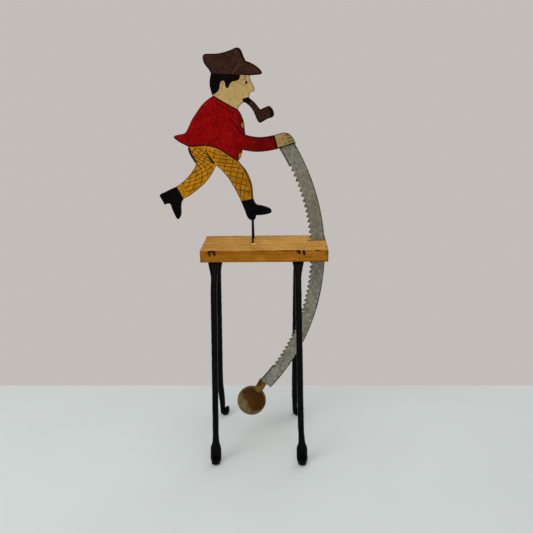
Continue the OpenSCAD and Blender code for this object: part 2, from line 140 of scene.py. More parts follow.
class StageSettings(bpy.types.PropertyGroup):
    """Colours and light of the stage."""
    floor: colour("Floor", "Pale floor", 203, 210, 209)
    backdrop: colour("Backdrop", "Pale backdrop all around the floor", 195, 189, 186)
    floor_edge: length("Floor Edge", "How far behind the toy's middle the floor ends", 185, 120, 600)
    key: power("Key Light", "Power of the large soft lamp at the left", 14.5)
    top: power("Top Light", "Power of the large soft lamp overhead", 8.5)
    front: power("Front Light", "Power of the large weak lamp in front", 18.0)
    back: power("Back Light", "Power of the large weak lamp behind", 9.0)
    sky: FloatProperty(name="Sky Light", description="Strength of the even light all around", default=0.57,
                       min=0.0)


class Web:
    """A tree of shader nodes, built up step by step."""

    def __init__(self, owner):
        owner.use_nodes = True
        self.tree = owner.node_tree

    def feed(self, socket, value):
        """Links a socket, or sets it where the value is plain."""
        if isinstance(value, bpy.types.NodeSocket):
            self.tree.links.new(value, socket)
        else:
            socket.default_value = value

    def add(self, kind, inputs=None, **settings):
        """A node with its settings made and its inputs fed."""
        node = self.tree.nodes.new(kind)
        for name, value in settings.items():
            setattr(node, name, value)
        for key, value in (inputs or {}).items():
            self.feed(node.inputs[key], value)
        return node

    def sum(self, kind, first, second=0.0):
        """One step of arithmetic on two values."""
        return self.add("ShaderNodeMath", {0: first, 1: second}, operation=kind).outputs[0]


class Finish(Web):
    """A procedural material on Object coordinates: one colour, then others laid over it."""

    def __init__(self, name, look):
        self.material = bpy.data.materials.new(name)
        super().__init__(self.material)
        self.place = self.add("ShaderNodeTexCoord").outputs["Object"]
        self.look = look

    def clouds(self, size, detail=4.0, rough=0.55, turn=0.0, place=None, warp=0.0):
        """Noise whose clouds have that size in metres, one number or one for each axis, turned about Y."""
        size = size if isinstance(size, tuple) else (size, size, size)
        spot = self.add("ShaderNodeMapping", {"Vector": place or self.place, "Rotation": (0.0, turn, 0.0),
                                              "Scale": size}, vector_type="TEXTURE").outputs[0]
        return self.add("ShaderNodeTexNoise", {"Vector": spot, "Scale": 1.0, "Detail": detail,
                                               "Roughness": rough, "Distortion": warp}).outputs["Fac"]

    def mark(self, name):
        """A value that the mesh itself carries."""
        return self.add("ShaderNodeAttribute", attribute_name=name).outputs["Fac"]

    def near(self, centre, reach):
        """1 at a point, falling to 0 at that distance in metres."""
        gap = self.add("ShaderNodeVectorMath", {0: self.place, 1: centre}, operation="DISTANCE")
        return self.band(gap.outputs["Value"], reach, 0.0)

    def band(self, value, low, high, start=0.0, end=1.0):
        """The value's run from low to high, turned into a run from start to end."""
        return self.add("ShaderNodeMapRange", {"Value": value, "From Min": low, "From Max": high,
                                               "To Min": start, "To Max": end}).outputs[0]

    def mix(self, share, first, second):
        """A share of the second colour over the first."""
        first_in, second_in, colour_out = 6, 7, 2
        inputs = {0: share, first_in: first, second_in: second}
        return self.add("ShaderNodeMix", inputs, data_type="RGBA").outputs[colour_out]

    def lay(self, over, value, low, high, most=1.0):
        """Lays a colour over the look, more of it as the value runs from low to high, up to a share."""
        self.look = self.mix(self.band(value, low, high, 0.0, most), self.look, over)

    def done(self, roughness, height=None, depth=0.0, shine=0.5, metal=0.0):
        """The material, with its look, roughness, relief and shine set."""
        shader = self.tree.nodes["Principled BSDF"]
        if height is not None:
            bump = self.add("ShaderNodeBump", {"Height": height, "Distance": depth, "Strength": 1.0})
            self.feed(shader.inputs["Normal"], bump.outputs[0])
        for name, value in (("Base Color", self.look), ("Roughness", roughness), ("Metallic", metal),
                            ("Specular IOR Level", shine)):
            self.feed(shader.inputs[name], value)
        return self.material


def tint(base, share, other=(0.0, 0.0, 0.0)):
    """A colour moved by a share towards another."""
    return (*(a + (b - a) * share for a, b in zip(base[:3], other[:3])), 1.0)


def brushed_paint(name, base, shade=0.35, rub=0.25, turn=0.0, shine=0.02, speckle=0.0, painted_shade=None,
                  fleck=(0.75, 0.65, 0.5)):
    """Old hand-laid paint: cloudy, streaked along the brush, rubbed in flecks, with painted shade that
    darkens it along X.
    """
    paint = Finish(name, base)
    cloud = paint.clouds(0.013, 5.0, 0.6)
    streak = paint.clouds((0.0009, 0.0009, 0.011), 6.0, 0.62, turn)
    scratch = paint.clouds((0.0006, 0.0006, 0.02), 3.0, 0.5, turn + 0.7)
    fine = paint.clouds(0.0032, 6.0, 0.66)
    light = tint(base, rub, fleck)
    paint.lay(tint(base, shade), cloud, 0.38, 0.66)
    paint.lay(tint(base, shade * 1.3), streak, 0.5, 0.75, 0.5)
    paint.lay(light, scratch, 0.64, 0.74, 0.6)
    paint.lay(light, fine, 0.52, 0.68, 0.4 + speckle)
    paint.lay(tint(base, 0.55), fine, 0.48, 0.32, 0.6 + speckle)
    # Painted shade: the paint darkens towards +X between two given places, as the light falls off to the
    # right.
    if painted_shade:
        start, end, most = painted_shade
        across = paint.add("ShaderNodeSeparateXYZ", {0: paint.place}).outputs["X"]
        paint.lay((0.0, 0.0, 0.0, 1.0), across, PIVOT.x + start * MM, PIVOT.x + end * MM, most)
    height = paint.sum("ADD", streak, paint.sum("MULTIPLY", fine, 0.5))
    return paint.done(paint.band(cloud, 0.3, 0.7, 0.46, 0.64), height, 0.00025, shine)


def waxed_wood(name, bench):
    """Old waxed wood with its grain along X, dark pores and stains, rubbed bare and dirtied in use, with
    painted highlight streaks and its top painted paler as painted light.
    """
    wood = Finish(name, bench.wood)
    line = wood.clouds((0.16, 0.0046, 0.0046), 7.0, 0.62, warp=0.5)
    fibre = wood.clouds((0.03, 0.0009, 0.0009), 4.0, 0.6)
    pore = wood.clouds((0.016, 0.0006, 0.0006), 3.0, 0.5)
    fleck = wood.clouds((0.006, 0.003, 0.003), 4.0, 0.6)
    stain = wood.clouds((0.04, 0.016, 0.016), 5.0, 0.62)
    patch = wood.clouds((0.014, 0.006, 0.006), 6.0, 0.66)
    dark = tint(bench.grain, 0.35)
    # Painted light and sheen: the top faces take the paler colour, and their grain is paler too.
    top = wood.mark("top_light_and_tone")
    wood.look = wood.mix(top, wood.look, bench.top_light_and_tone)
    wood.lay(wood.mix(top, bench.grain, tint(bench.top_light_and_tone, 0.35, bench.grain)), line, 0.34, 0.66)
    wood.lay(dark, fibre, 0.5, 0.8, 0.4)
    wood.lay(dark, stain, 0.52, 0.78, 0.45)
    wood.lay(bench.worn, stain, 0.48, 0.24, 0.2)
    wood.lay(dark, pore, 0.62, 0.72, 0.4)
    wood.lay(dark, fleck, 0.56, 0.68, 0.6)
    # The rubs mark holds worn spots and painted highlight streaks; the other mark holds dirt.
    for use, shown in (("rubs_and_highlights", bench.worn), ("dirt", bench.dirt)):
        wood.lay(shown, wood.sum("ADD", wood.mark(use), patch), 0.85, 1.15, 0.85)
    height = wood.sum("SUBTRACT", wood.sum("MULTIPLY", line, 0.6), wood.band(pore, 0.6, 0.75))
    return wood.done(wood.band(stain, 0.3, 0.7, 0.44, 0.6), height, 0.0003, 0.04)


def torn_wood(name, dirt):
    """Dark wood inside the plank's cuts, partly old dirt and partly painted shade of the recess."""
    wood = Finish(name, tint(dirt, 0.6))
    fibre = wood.clouds((0.006, 0.0008, 0.0008), 5.0, 0.65)
    wood.lay(tint(dirt, 0.12, (0.5, 0.3, 0.1)), fibre, 0.42, 0.72)
    return wood.done(wood.band(fibre, 0.3, 0.7, 0.7, 0.85), fibre, 0.0008, 0.1)


def black_iron(name, base):
    """Forged iron under old black paint, dull and slightly rubbed, with pale flecks that are partly painted
    glints.
    """
    iron = Finish(name, base)
    cloud = iron.clouds(0.02, 5.0)
    grit_and_glints = iron.clouds(0.0014, 4.0, 0.6)
    iron.lay(tint(base, 0.004, (0.5, 0.44, 0.38)), cloud, 0.4, 0.75)
    # Pale grey flecks: rubbed spots with painted glints.
    iron.lay(tint(base, 0.03, (0.5, 0.5, 0.5)), grit_and_glints, 0.67, 0.8, 0.5)
    return iron.done(iron.band(cloud, 0.3, 0.7, 0.24, 0.4), grit_and_glints, 0.00018, 0.045)


def bright_steel(name, base, rough=0.35):
    """Handled steel of screws and brads, dark with a worn shine."""
    steel = Finish(name, base)
    cloud = steel.clouds(0.004, 4.0)
    draw = steel.clouds((0.0004, 0.0004, 0.006), 3.0)
    steel.lay(tint(base, 0.2, (0.6, 0.58, 0.55)), cloud, 0.45, 0.75)
    return steel.done(steel.band(cloud, 0.3, 0.7, rough, rough + 0.15), draw, 0.00008, 0.25, 0.6)


def link(name, mesh):
    """A new object in the scene."""
    obj = bpy.data.objects.new(name, mesh)
    bpy.context.scene.collection.objects.link(obj)
    return obj


def solid(name, bm, *materials):
    """A bmesh as an object of those materials, with the bmesh freed."""
    mesh = bpy.data.meshes.new(name)
    bm.to_mesh(mesh)
    bm.free()
    for material in materials:
        mesh.materials.append(material)
    return link(name, mesh)


def settled(obj):
    """The object's mesh with its modifiers carried out, the object left with none."""
    bpy.context.view_layer.update()
    mesh = bpy.data.meshes.new_from_object(obj.evaluated_get(bpy.context.evaluated_depsgraph_get()))
    old = obj.data
    obj.modifiers.clear()
    if obj.type == "MESH":
        obj.data = mesh
        bpy.data.meshes.remove(old)
    return mesh


def cut(obj, tool, kind="DIFFERENCE"):
    """Cuts an object with a tool, which is used up; the cut faces keep the tool's material."""
    step = obj.modifiers.new("cut", "BOOLEAN")
    step.operation = kind
    step.solver = "EXACT"
    step.material_mode = "TRANSFER"
    step.object = tool
    settled(obj)
    bpy.data.objects.remove(tool)
    if not obj.data.polygons:
        raise RuntimeError(f"the cut left nothing of {obj.name}")


def piece(obj, body, slot, *nodes, crease=40.0):
    """Finishes a piece: smooth shading up to a crease, the body it rides on and the nodes it replaces."""
    obj.data.shade_smooth()
    obj.data.set_sharp_from_angle(angle=math.radians(crease))
    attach(obj, body)
    if nodes:
        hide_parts(*nodes)


def merged_copy(node):
    """A CAD node's mesh as one closed shell."""
    bm = bmesh.new()
    bm.from_mesh(frame["nodes"][node].data)
    bmesh.ops.remove_doubles(bm, verts=bm.verts[:], dist=2e-6)
    return bm


def dress(node, material):
    """Gives a CAD node that stays in view its finish."""
    slots = frame["nodes"][node].data.materials
    slots.clear()
    slots.append(material)


def refinish(name, node, slot, material, crease=40.0):
    """A piece of the rocker that keeps its CAD node's shape and gets a finish."""
    piece(solid(name, merged_copy(node), material), "rocker", slot, node, crease=crease)


def block(middle, size):
    """A block of that size."""
    bm = bmesh.new()
    bmesh.ops.create_cube(bm, size=1.0, matrix=Matrix.Translation(middle) @ Matrix.Diagonal((*size, 1.0)))
    return bm


def thicken(bm, faces, depth):
    """Grows flat faces along Y into a closed slab."""
    grown = bmesh.ops.extrude_face_region(bm, geom=faces)["geom"]
    moved = [v for v in grown if isinstance(v, bmesh.types.BMVert)]
    bmesh.ops.translate(bm, verts=moved, vec=(0.0, depth, 0.0))
    bmesh.ops.recalc_face_normals(bm, faces=bm.faces[:])


def on_figure(x, height, y):
    """A figure point at a depth, in metres."""
    return Vector((PIVOT.x + x * FIGURE, y, HEEL_Z + height * FIGURE))


def on_plank(x, y, z):
    """A point given in millimetres, with Z counted up from the plank's top."""
    return Vector((x * MM, y * MM, PLANK_HIGH.z + z * MM))


def smooth_run(points, steps=5):
    """A smooth run through a few points."""
    ends = [points[0], *points, points[-1]]
    run = []
    for a, b, c, d in zip(ends, ends[1:], ends[2:], ends[3:]):
        for step in range(steps):
            t = step / steps
            run.append(tuple(0.5 * (2 * q + (r - p) * t + (2 * p - 5 * q + 4 * r - s) * t * t
                                    + (3 * q - p - 3 * r + s) * t ** 3) for p, q, r, s in zip(a, b, c, d)))
    return run + [points[-1]]


def oval(x, height, across, up, turn=0.0):
    """A turned oval of figure points."""
    corners = 28
    spins = [2 * math.pi * i / corners for i in range(corners)]
    c, s = math.cos(turn), math.sin(turn)
    return [(x + across * math.cos(a) * c - up * math.sin(a) * s,
             height + across * math.cos(a) * s + up * math.sin(a) * c) for a in spins]


def lattice(edges, first, second):
    """Two crossing sets of hand-drawn lines on a trouser leg, each with its run down it and its spacing."""
    left, right = (smooth_run(edge, 6) for edge in edges)
    last = len(left) - 1
    wider_below, ripple, steps = 1.25, 0.02, 8
    lines = []
    for way, (slant, pitch) in enumerate((first, second)):
        for start in range(-math.ceil(slant / pitch), math.ceil(1 / pitch)):
            run = []
            for step in range(steps + 1):
                down = max(0.0, start * pitch + slant * step / steps) ** wider_below
                down += ripple * noise.noise(Vector((0.7 * start, 0.3 * step, 5.0 * way + 0.5)))
                if not 0.02 < down < 0.98:
                    continue
                i = int(down * last)
                t = down * last - i
                across = 0.05 + 0.9 * (steps - step if way else step) / steps
                run.append(tuple((a + (b - a) * t) * (1 - across) + (c + (d - c) * t) * across
                                 for a, b, c, d in zip(left[i], left[i + 1], right[i], right[i + 1])))
            if len(run) > 1:
                lines.append((0.95 + 0.6 * abs(noise.noise(Vector((1.7 * start, 3.0 * way, 0.4)))), run))
    return lines


# Runs along the painted areas of the man, in figure units
HAIRLINE = smooth_run([
    (-57, 200.4), (-52.3, 202.7), (-47.8, 206.3), (-45.5, 211), (-44.5, 217), (-42.2, 220.3), (-39.3, 220.9),
    (-37, 218.2), (-36.5, 213.5), (-34.8, 210.4), (-32.3, 210.4), (-30.4, 213.4), (-28.9, 216.7),
    (-25.2, 219.6), (-19.5, 220.5), (-15.2, 222.5), (-13.7, 225.7), (-12.9, 229)])
CAP_LINE = smooth_run([
    (-58.6, 231.6), (-41.7, 231.2), (-24.1, 230.2), (-10.1, 228.7), (0.4, 228.4), (6, 228)])
COLLAR = smooth_run([(-57, 199.2), (-46.5, 192.7), (-35.2, 186.2), (-25.7, 181), (-19.2, 178.2)])
HEM = smooth_run([(-21, 98.9), (-25.7, 101.2), (-37.8, 109.8), (-49.9, 117.4), (-61.1, 121.8), (-74.3, 123.8),
                  (-89.6, 122.7), (-101, 123)])
CUFF = [(37.2, 139.5), (38.8, 131.5), (41.6, 121.1), (43.6, 115)]

# Painted areas by piece: the paint, its height above the bare board in millimetres, and the runs around it,
# which may reach past the board's outline
AREAS = {
    "trousers_paint": ("trouser", 0.07, [[(-160, 126), (10, 126), (10, 30), (-160, 30)]]),
    "skin_paint": ("skin", 0.07, [[(-75, 240), (15, 240), (15, 200), (-2, 194), (-12, 176), (-60, 176)],
                                  [(36, 150), (90, 150), (90, 110), (36, 110)]]),
    "coat_paint": ("coat", 0.12, [
        COLLAR + [(-12, 178), (-4, 165), (-4, 146), (4, 143)] + CUFF + [(30, 106), (-4, 106), (-14, 96)] + HEM
        + [(-104, 118), (-135, 128), (-135, 150), (-90, 180)]]),
    "boots_paint": ("black", 0.13, [
        [(-124.5, 60.5), (-118, 47.5), (-111, 33.5), (-104, 15), (-110, -6), (-165, -6), (-165, 60)],
        [(-22, 33), (-19, 33.3), (-8.6, 34.4), (1.1, 37.2), (5, 38.5), (45, 36), (45, -6), (-22, -6)]]),
    "hair_paint": ("black", 0.12, [HAIRLINE + [(-12.9, 236), (-75, 236), (-75, 200)]]),
    "cap_paint": ("cap", 0.17, [CAP_LINE + [(30, 226), (30, 280), (-85, 280), (-85, 231.6)]]),
    "pipe_paint": ("pipe", 0.12, [[(-1.5, 191.5), (6, 200), (50, 200), (50, 150), (6, 150), (-6, 182)]]),
    "mouthpiece_paint": ("black", 0.17, [
        [(-10.9, 194.2), (-3.4, 196), (3, 199), (5.5, 193), (0.1, 188.5), (-2.5, 180), (-9.9, 188)]]),
    "button_paint": ("trouser", 0.2, [oval(-11.2, 154.4, 2.6, 4.3), oval(-16.6, 107, 3.2, 5.2, -0.35)]),
    "eye_paint": ("black", 0.16, [oval(-3.9, 218, 1.6, 2.4, -0.2)]),
    "coat_peg_marks": ("peg_mark", 0.15, [oval(-59.9, 157.3, 1.1, 1.1), oval(-92.7, 134.9, 1.1, 1.1)]),
}

# Edges of the trouser legs in figure units, left and right, from the hem down to the boot
REAR_LEG = ([(-100, 122.6), (-97, 111), (-93, 104), (-88.9, 96.5), (-91, 90), (-95.5, 82), (-104, 73.5),
             (-113, 66.8), (-122, 61)],
            [(-72, 122.6), (-69.4, 110), (-66, 103.5), (-60, 94.8), (-61.4, 86.5), (-68.5, 74.8),
             (-79.2, 63.5), (-93, 52), (-110, 41)])
FRONT_LEG = ([(-71, 121.4), (-66, 108), (-61, 100), (-56, 92.4), (-49, 84.7), (-41.3, 76), (-35, 66.5),
              (-29.5, 57), (-24.5, 47), (-20.3, 37)],
             [(-51, 117), (-36.5, 107.5), (-26.5, 100), (-18.2, 92.5), (-13, 85), (-9.2, 77), (-5.9, 68),
              (-3.4, 59), (-2, 48.5), (-1.5, 38.5)])

# Brush lines by piece: the paint, the area that they lie on, and each line's width in millimetres and points
LINES = {
    "coat_scratches": ("scratch", "coat_paint", [(0.4, run) for run in (
        [(-88.9, 166), (-85.3, 170.3)], [(-83.3, 173.9), (-77.8, 180)], [(-71.2, 184.6), (-66.2, 189.8)],
        [(-79.6, 172.5), (-74.3, 178.4)], [(-94.7, 158.4), (-91.3, 163.3)], [(22.9, 132.2), (29.2, 130.7)],
        [(-32.7, 142.8), (-28.1, 136)], [(1.8, 128.7), (10.2, 127.4)],
    )]),
    "coat_lines": ("black", "coat_paint", [
        (2.3, [(-56, 199), (-46.5, 193), (-35.2, 186.5), (-25.7, 181.2), (-19.8, 178.4)]),
        (1.6, [(-52.8, 190.8), (-47.8, 186.1), (-42.1, 182.7), (-38.5, 180.4)]),
        (1.6, [(-36.5, 178.8), (-29.8, 175.1), (-25.1, 172.2)]),
        (1.8, [(-33.1, 166.8), (-27.5, 161), (-22.9, 154.4), (-18.2, 147.6), (-14.5, 142.8), (-9.2, 139.6)]),
        (1.1, [(-18, 168.4), (-17, 162.7), (-17.6, 156.5)]),
        (1.4, [(-18.4, 176.6), (-15.4, 171.5), (-12.6, 164.5), (-10.7, 157), (-10.1, 148), (-9.4, 140.6)]),
        (1.6, [(-11.6, 160.4), (-14.6, 157.3), (-14.8, 152.3), (-12.9, 149.2), (-10.2, 148.7)]),
        (1.8, [(-15.2, 113.4), (-19.2, 111), (-21, 107.1), (-20.6, 103.2), (-18.9, 100.9)]),
        (0.9, [(-22.6, 117.5), (-22.3, 112), (-23.3, 104.2)]),
        (1.5, [(-8.6, 138.6), (0.5, 136.1), (13, 134.4), (24, 134.9), (37, 136.9)]),
        (1.5, [(-12.4, 116.6), (0, 114.3), (12.5, 113.3), (25, 114.3), (40, 116.6)]),
        (3.1, [(37.4, 137.2), (38.8, 131.5), (41.6, 121.1), (43.2, 117.4)]),
        (2.4, [(-101.5, 123.9), (-89.6, 123.1), (-74.3, 124.2), (-61.1, 122.2), (-49.9, 117.8),
               (-37.8, 110.2), (-25.7, 101.6), (-21.4, 99.8)]),
        (2.7, [(-121.2, 137), (-115, 131.4), (-107, 126.9), (-101, 124)]),
    ]),
    "cap_lines": ("black", "cap_paint", [
        (2.5, [(-13.6, 265.8), (-10.6, 259), (-7.6, 252), (-5, 247.8)]),
        (1.3, [(-65, 259.2), (-50, 259.2), (-36, 261.4), (-24, 265.2), (-17.5, 267), (-14, 266)]),
        (2.3, [(-5, 247.8), (3, 245.4), (11, 240.9), (16.6, 236), (18.7, 232.6), (18.3, 230.8), (14, 229.8)]),
        (2.3, [(14, 229.9), (4, 229.3), (-6, 229.5)]),
        (1.4, [(-68, 251), (-65.2, 244.4), (-60.2, 238.2), (-57.6, 233)]),
        (0.5, [(-45, 238), (-33, 239.6), (-19, 243.4)]),
    ]),
    "pipe_lines": ("black", "pipe_paint", [
        (1.4, [(0.2, 193.6), (3.2, 191.2), (9.4, 185.4), (13.6, 179.8), (16.8, 176.8), (22, 179), (27, 181),
               (31, 181.4), (34.2, 178.4), (36.5, 173.8), (36.9, 169.4), (34.4, 166.2)]),
        (1.6, [(35.4, 169.8), (33.8, 166.3), (27.3, 164.6), (22.2, 162.4), (16.8, 159.6), (12.4, 160.8),
               (9.8, 165.9), (6.7, 173.4), (2.4, 181)]),
        (3.4, [(30.6, 178.6), (33.8, 175.4), (34.9, 171), (33, 167.4)]),
    ]),
    "hand_lines": ("black", "skin_paint", [
        (2.2, [(44.4, 118.7), (52.8, 120.4), (62.2, 123.5), (71, 126.7)]),
        (1.5, [(56.7, 138), (59.7, 139.3), (62.8, 139)]),
        (1.5, [(59.3, 133.4), (62.6, 134.2), (67.2, 135.6)]),
        (1.3, [(60, 128.1), (64, 129), (68.4, 130.4)]),
    ]),
    "face_lines": ("skin_line", "skin_paint", [
        (0.6, [(-41.6, 218.3), (-42.6, 213.6), (-40.9, 209.2)]),
        (0.5, [(-40.8, 218.6), (-39.1, 218), (-39, 213.8)]),
        (0.9, [(2.4, 221.6), (4.8, 215.6), (7.3, 210.2), (8.1, 207), (6.4, 204.9), (2.6, 204.2)]),
        (0.6, [(1.6, 209.4), (2.6, 206.6), (5.2, 206.2)]),
        (0.5, [(-10.8, 188.7), (-14.4, 186.4), (-18.6, 180.4)]),
    ]),
    "brow_smear": ("brow", "skin_paint", [(3.2, [(-6.4, 228.4), (-5.8, 225.6), (-5, 222.6)])]),
    "lash_line": ("plaid", "skin_paint", [(0.8, [(-10.6, 222.9), (-7.6, 222.3), (-4.4, 220.8)])]),
    "trouser_shadow_lines": ("shadow", "trousers_paint", [
        (3.8, [(-99, 120.5), (-96.7, 111.4), (-92.9, 104.5), (-88.5, 97)]),
        (1.8, [(-88.8, 95.4), (-91.6, 89.7), (-94.6, 83.9), (-96, 80.2)]),
        (1.2, [(-96.6, 79.4), (-104.4, 72.7), (-110.6, 67.8)]),
        (1.8, [(-72, 119.5), (-71.2, 115.5), (-69.6, 110.6)]),
        (3.2, [(-70.4, 111.6), (-67.6, 106), (-65.6, 103)]),
        (4.4, [(-67.4, 105.6), (-63.6, 100), (-59.4, 94.4)]),
        (1.9, [(-20.1, 97.5), (-11.6, 85), (-5.3, 70.5), (-1.6, 59.2), (-0.2, 47), (0.1, 36.9)]),
        (1.6, [(-55.4, 91.3), (-42.7, 78.3), (-32.9, 64.4), (-24.9, 49.1), (-19.6, 35.8)]),
        (1.3, [(-59.4, 87.6), (-68.2, 73.8), (-78.6, 62.3), (-90.7, 52.6), (-102.6, 44.2), (-111, 39.6)]),
    ]),
    "trouser_plaid_lines": ("plaid", "trousers_paint", lattice(REAR_LEG, (0.33, 0.125), (0.33, 0.125))
                            + lattice(FRONT_LEG, (0.09, 0.105), (0.42, 0.145))),
    "cap_seam_line": ("cap_seam", "cap_paint", [
        (0.8, [(-24.8, 231.2), (-21.1, 235.8), (-17.4, 240.3), (-12, 244.4)])]),
}

# Pale rubs on the plank's top in millimetres from the pivot: X, Y, reach along and across, and strength
# The first is worn bare under the fork's tip; the other two are painted highlight streaks to its right.
RUBS = [(1.5, -17, 7, 9, 0.95), (20, -14, 26, 7, 0.5), (24, -2, 22, 6, 0.45)]

# Stains on the plank in millimetres: X, Y, Z from the top, reach, and strength
FRONT = PLANK_LOW.y / MM
STAINS = [
    (7, FRONT, -20, 5, 0.6), (49, FRONT, -12, 4, 0.45), (40, FRONT, -12, 4, 0.45), (72, FRONT, 0, 9, 0.6),
    (60, FRONT, -19, 4, 0.5), (-30, FRONT, 0, 7, 0.5), (20, FRONT, 0, 8, 0.5), (138, FRONT, -2, 10, 0.6),
    (138, FRONT, -19, 7, 0.6), (139, 12, -2, 9, 0.55), (109, 12, 0, 8, 0.55), (-69, 20, 0, 9, 0.5),
]

# Chips out of the plank's front in millimetres: X, Z from the top, half the width and half the height, depth,
# and the lean to the right in degrees
CHIPS = [
    (-50.6, -0.9, 7.4, 2.3, 2.2, 0), (-54.4, -4.2, 2.4, 5.6, 1.9, 14), (-46.0, -3.8, 2.3, 5.4, 2.0, 8),
    (91.6, -2.0, 3.2, 5.2, 2.4, 30), (100.6, -3.8, 2.5, 5.4, 2.2, 8), (122.6, -0.2, 6.2, 1.2, 1.6, 0),
    (108.0, -0.9, 5.4, 0.45, 1.0, 0), (-68.6, -18.6, 2.6, 2.4, 1.6, 40),
]


class Step:
    """What the toy's operators share."""
    bl_options = {"REGISTER", "UNDO"}


class TOY_OT_plank(Step, bpy.types.Operator):
    """Shape the worn plank with its kerf, its two bearing dents and its torn front edge"""
    bl_idname = "toy.plank"
    bl_label = "Plank"

    def execute(self, context):
        """A board with rubbed edges, then the cuts in it."""
        bench = context.scene.toy_bench
        size = PLANK_HIGH - PLANK_LOW
        bm = block((PLANK_LOW + PLANK_HIGH) / 2, size)
        bmesh.ops.bevel(bm, geom=bm.edges[:], offset=bench.edge_round, affect="EDGES", segments=3,
                        profile=0.5, material=-1)
        pitch = 2.5 * MM
        for axis in range(3):
            across = Vector(1.0 if i == axis else 0.0 for i in range(3))
            for step in range(1, int(size[axis] / pitch)):
                bmesh.ops.bisect_plane(bm, geom=bm.verts[:] + bm.edges[:] + bm.faces[:], dist=1e-6,
                                       plane_co=PLANK_LOW + across * step * pitch, plane_no=across)
        bm.normal_update()
        self.use(bm, bench.edge_wear)
        plank = solid("plank_board", bm, waxed_wood("plank_waxed_wood", bench))
        torn = torn_wood("plank_torn_wood", bench.dirt)
        # The cut faces take the dark wood: dirt, and painted shade inside the kerf and dents.
        for tool in (self.kerf(), self.bearing(-1), self.bearing(1), *(self.chip(*chip) for chip in CHIPS)):
            cut(plank, solid("tool", tool, torn))
        piece(plank, "stand", "plank_wood", "plank")
        return {"FINISHED"}

    def use(self, bm, depth):
        """Rubs the edges down, and marks the dirt, the pale rubs, partly worn bare and partly painted
        highlights, and the top, painted paler as painted light.
        """
        rubs_and_highlights, dirt, top_light_and_tone = (bm.verts.layers.float.new(name) for name in ("rubs_and_highlights", "dirt", "top_light_and_tone"))
        edge_reach, rim_reach, end_reach, dirtier_from = 2.5 * MM, 3.5 * MM, 9 * MM, 55 * MM
        for v in bm.verts:
            gaps = sorted(min(v.co[i] - PLANK_LOW[i], PLANK_HIGH[i] - v.co[i]) for i in range(3))
            edge = max(0.0, 1.0 - gaps[1] / edge_reach)
            rim = max(0.0, 1.0 - gaps[1] / rim_reach)
            end = max(0.0, 1.0 - (PLANK_HIGH.x - v.co.x) / end_reach)
            v[dirt] = max((0.72 if v.co.x > dirtier_from else 0.56) * rim, 0.42 * end)
            # Painted light: the top faces are marked to be paler, as lit from above, and paler again towards
            # the right end.
            if v.normal.z > 0.7:
                v[top_light_and_tone] = 0.62 + 0.6 * (v.co.x - PLANK_LOW.x) / (PLANK_HIGH.x - PLANK_LOW.x)
            for x, y, z, reach, strength in STAINS:
                far = (v.co - on_plank(x, y, z)).length / (reach * MM)
                v[dirt] = max(v[dirt], strength * (1.0 - far))
            off = (v.co - PIVOT) / MM
            # A worn spot under the fork's tip, and painted highlight streaks to its right.
            for x, y, along, across, strength in RUBS:
                far = math.hypot((off.x - x) / along, (off.y - y) / across)
                v[rubs_and_highlights] = max(v[rubs_and_highlights], strength * max(0.0, 1.0 - far * far))
            rub = max(0.0, noise.noise(v.co * 55.0) + 0.5 * noise.noise(v.co * 170.0) + 0.25)
            v.co -= v.normal * depth * rub * edge

    def chip(self, x, z, across, up, depth, lean):
        """A lump with a torn surface that takes one chip out of the front edge."""
        bm = bmesh.new()
        bmesh.ops.create_icosphere(bm, subdivisions=3, radius=1.0)
        for v in bm.verts:
            v.co *= 1.0 + 0.35 * noise.noise(v.co * 2.3 + Vector((x, 0.0, 0.0)))
        place = (Matrix.Translation(on_plank(x, FRONT, z)) @ Matrix.Rotation(math.radians(-lean), 4, "Y")
                 @ Matrix.Diagonal((across * MM, depth * MM, up * MM, 1.0)))
        bmesh.ops.transform(bm, matrix=place, verts=bm.verts[:])
        return bm

    def kerf(self):
        """The slit that the saw swings in, open at the plank's right end."""
        start, end = 108.98 * MM, PLANK_HIGH.x + 5 * MM
        width, height = 3.9 * MM, 40 * MM
        middle = ((start + end) / 2, PIVOT.y, (PLANK_LOW.z + PLANK_HIGH.z) / 2)
        return block(middle, (end - start, width, height))

    def bearing(self, side):
        """The worn dent that one of the fork's tips stands in."""
        tip_gap, tip_round = 13.5 * MM, 1.75 * MM
        bm = bmesh.new()
        bmesh.ops.create_icosphere(bm, subdivisions=3, radius=tip_round,
                                   matrix=Matrix.Translation(PIVOT + Vector((0.0, side * tip_gap, 0.0))))
        return bm


class TOY_OT_legs(Step, bpy.types.Operator):
    """Forge the four legs and finish their screws"""
    bl_idname = "toy.legs"
    bl_label = "Legs"

    def execute(self, context):
        """Each leg is a close skin over its solid, dented by the hammer but flat under its foot and tab."""
        bench = context.scene.toy_bench
        iron = black_iron("leg_black_iron", bench.iron)
        for corner in ("front_left", "front_right", "rear_left", "rear_right"):
            node = "leg_" + corner
            leg = solid(node + "_forged", merged_copy(node), iron)
            skin = leg.modifiers.new("skin", "REMESH")
            skin.mode = "VOXEL"
            skin.voxel_size = 0.9 * MM
            settled(leg)
            self.hammer(leg.data, bench.hammer, *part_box(node))
            piece(leg, "stand", "leg_iron", node, crease=70.0)
        dress("leg_screws", bright_steel("screw_dark_steel", srgb(58, 56, 54)))
        return {"FINISHED"}

    def hammer(self, mesh, depth, low, high):
        """Soft dents over a leg."""
        bm = bmesh.new()
        bm.from_mesh(mesh)
        for _ in range(2):
            bmesh.ops.smooth_vert(bm, verts=bm.verts[:], factor=0.5, use_axis_x=True, use_axis_y=True,
                                  use_axis_z=True)
        bm.normal_update()
        flat = 0.7 * MM
        for v in bm.verts:
            if low.z + flat < v.co.z < high.z - flat:
                blow = 0.65 * noise.noise(v.co * 105.0) + 0.35 * noise.noise(v.co * 260.0)
                v.co -= v.normal * depth * blow
            for i in range(3):
                v.co[i] = min(max(v.co[i], low[i]), high[i])
        bm.to_mesh(mesh)
        bm.free()


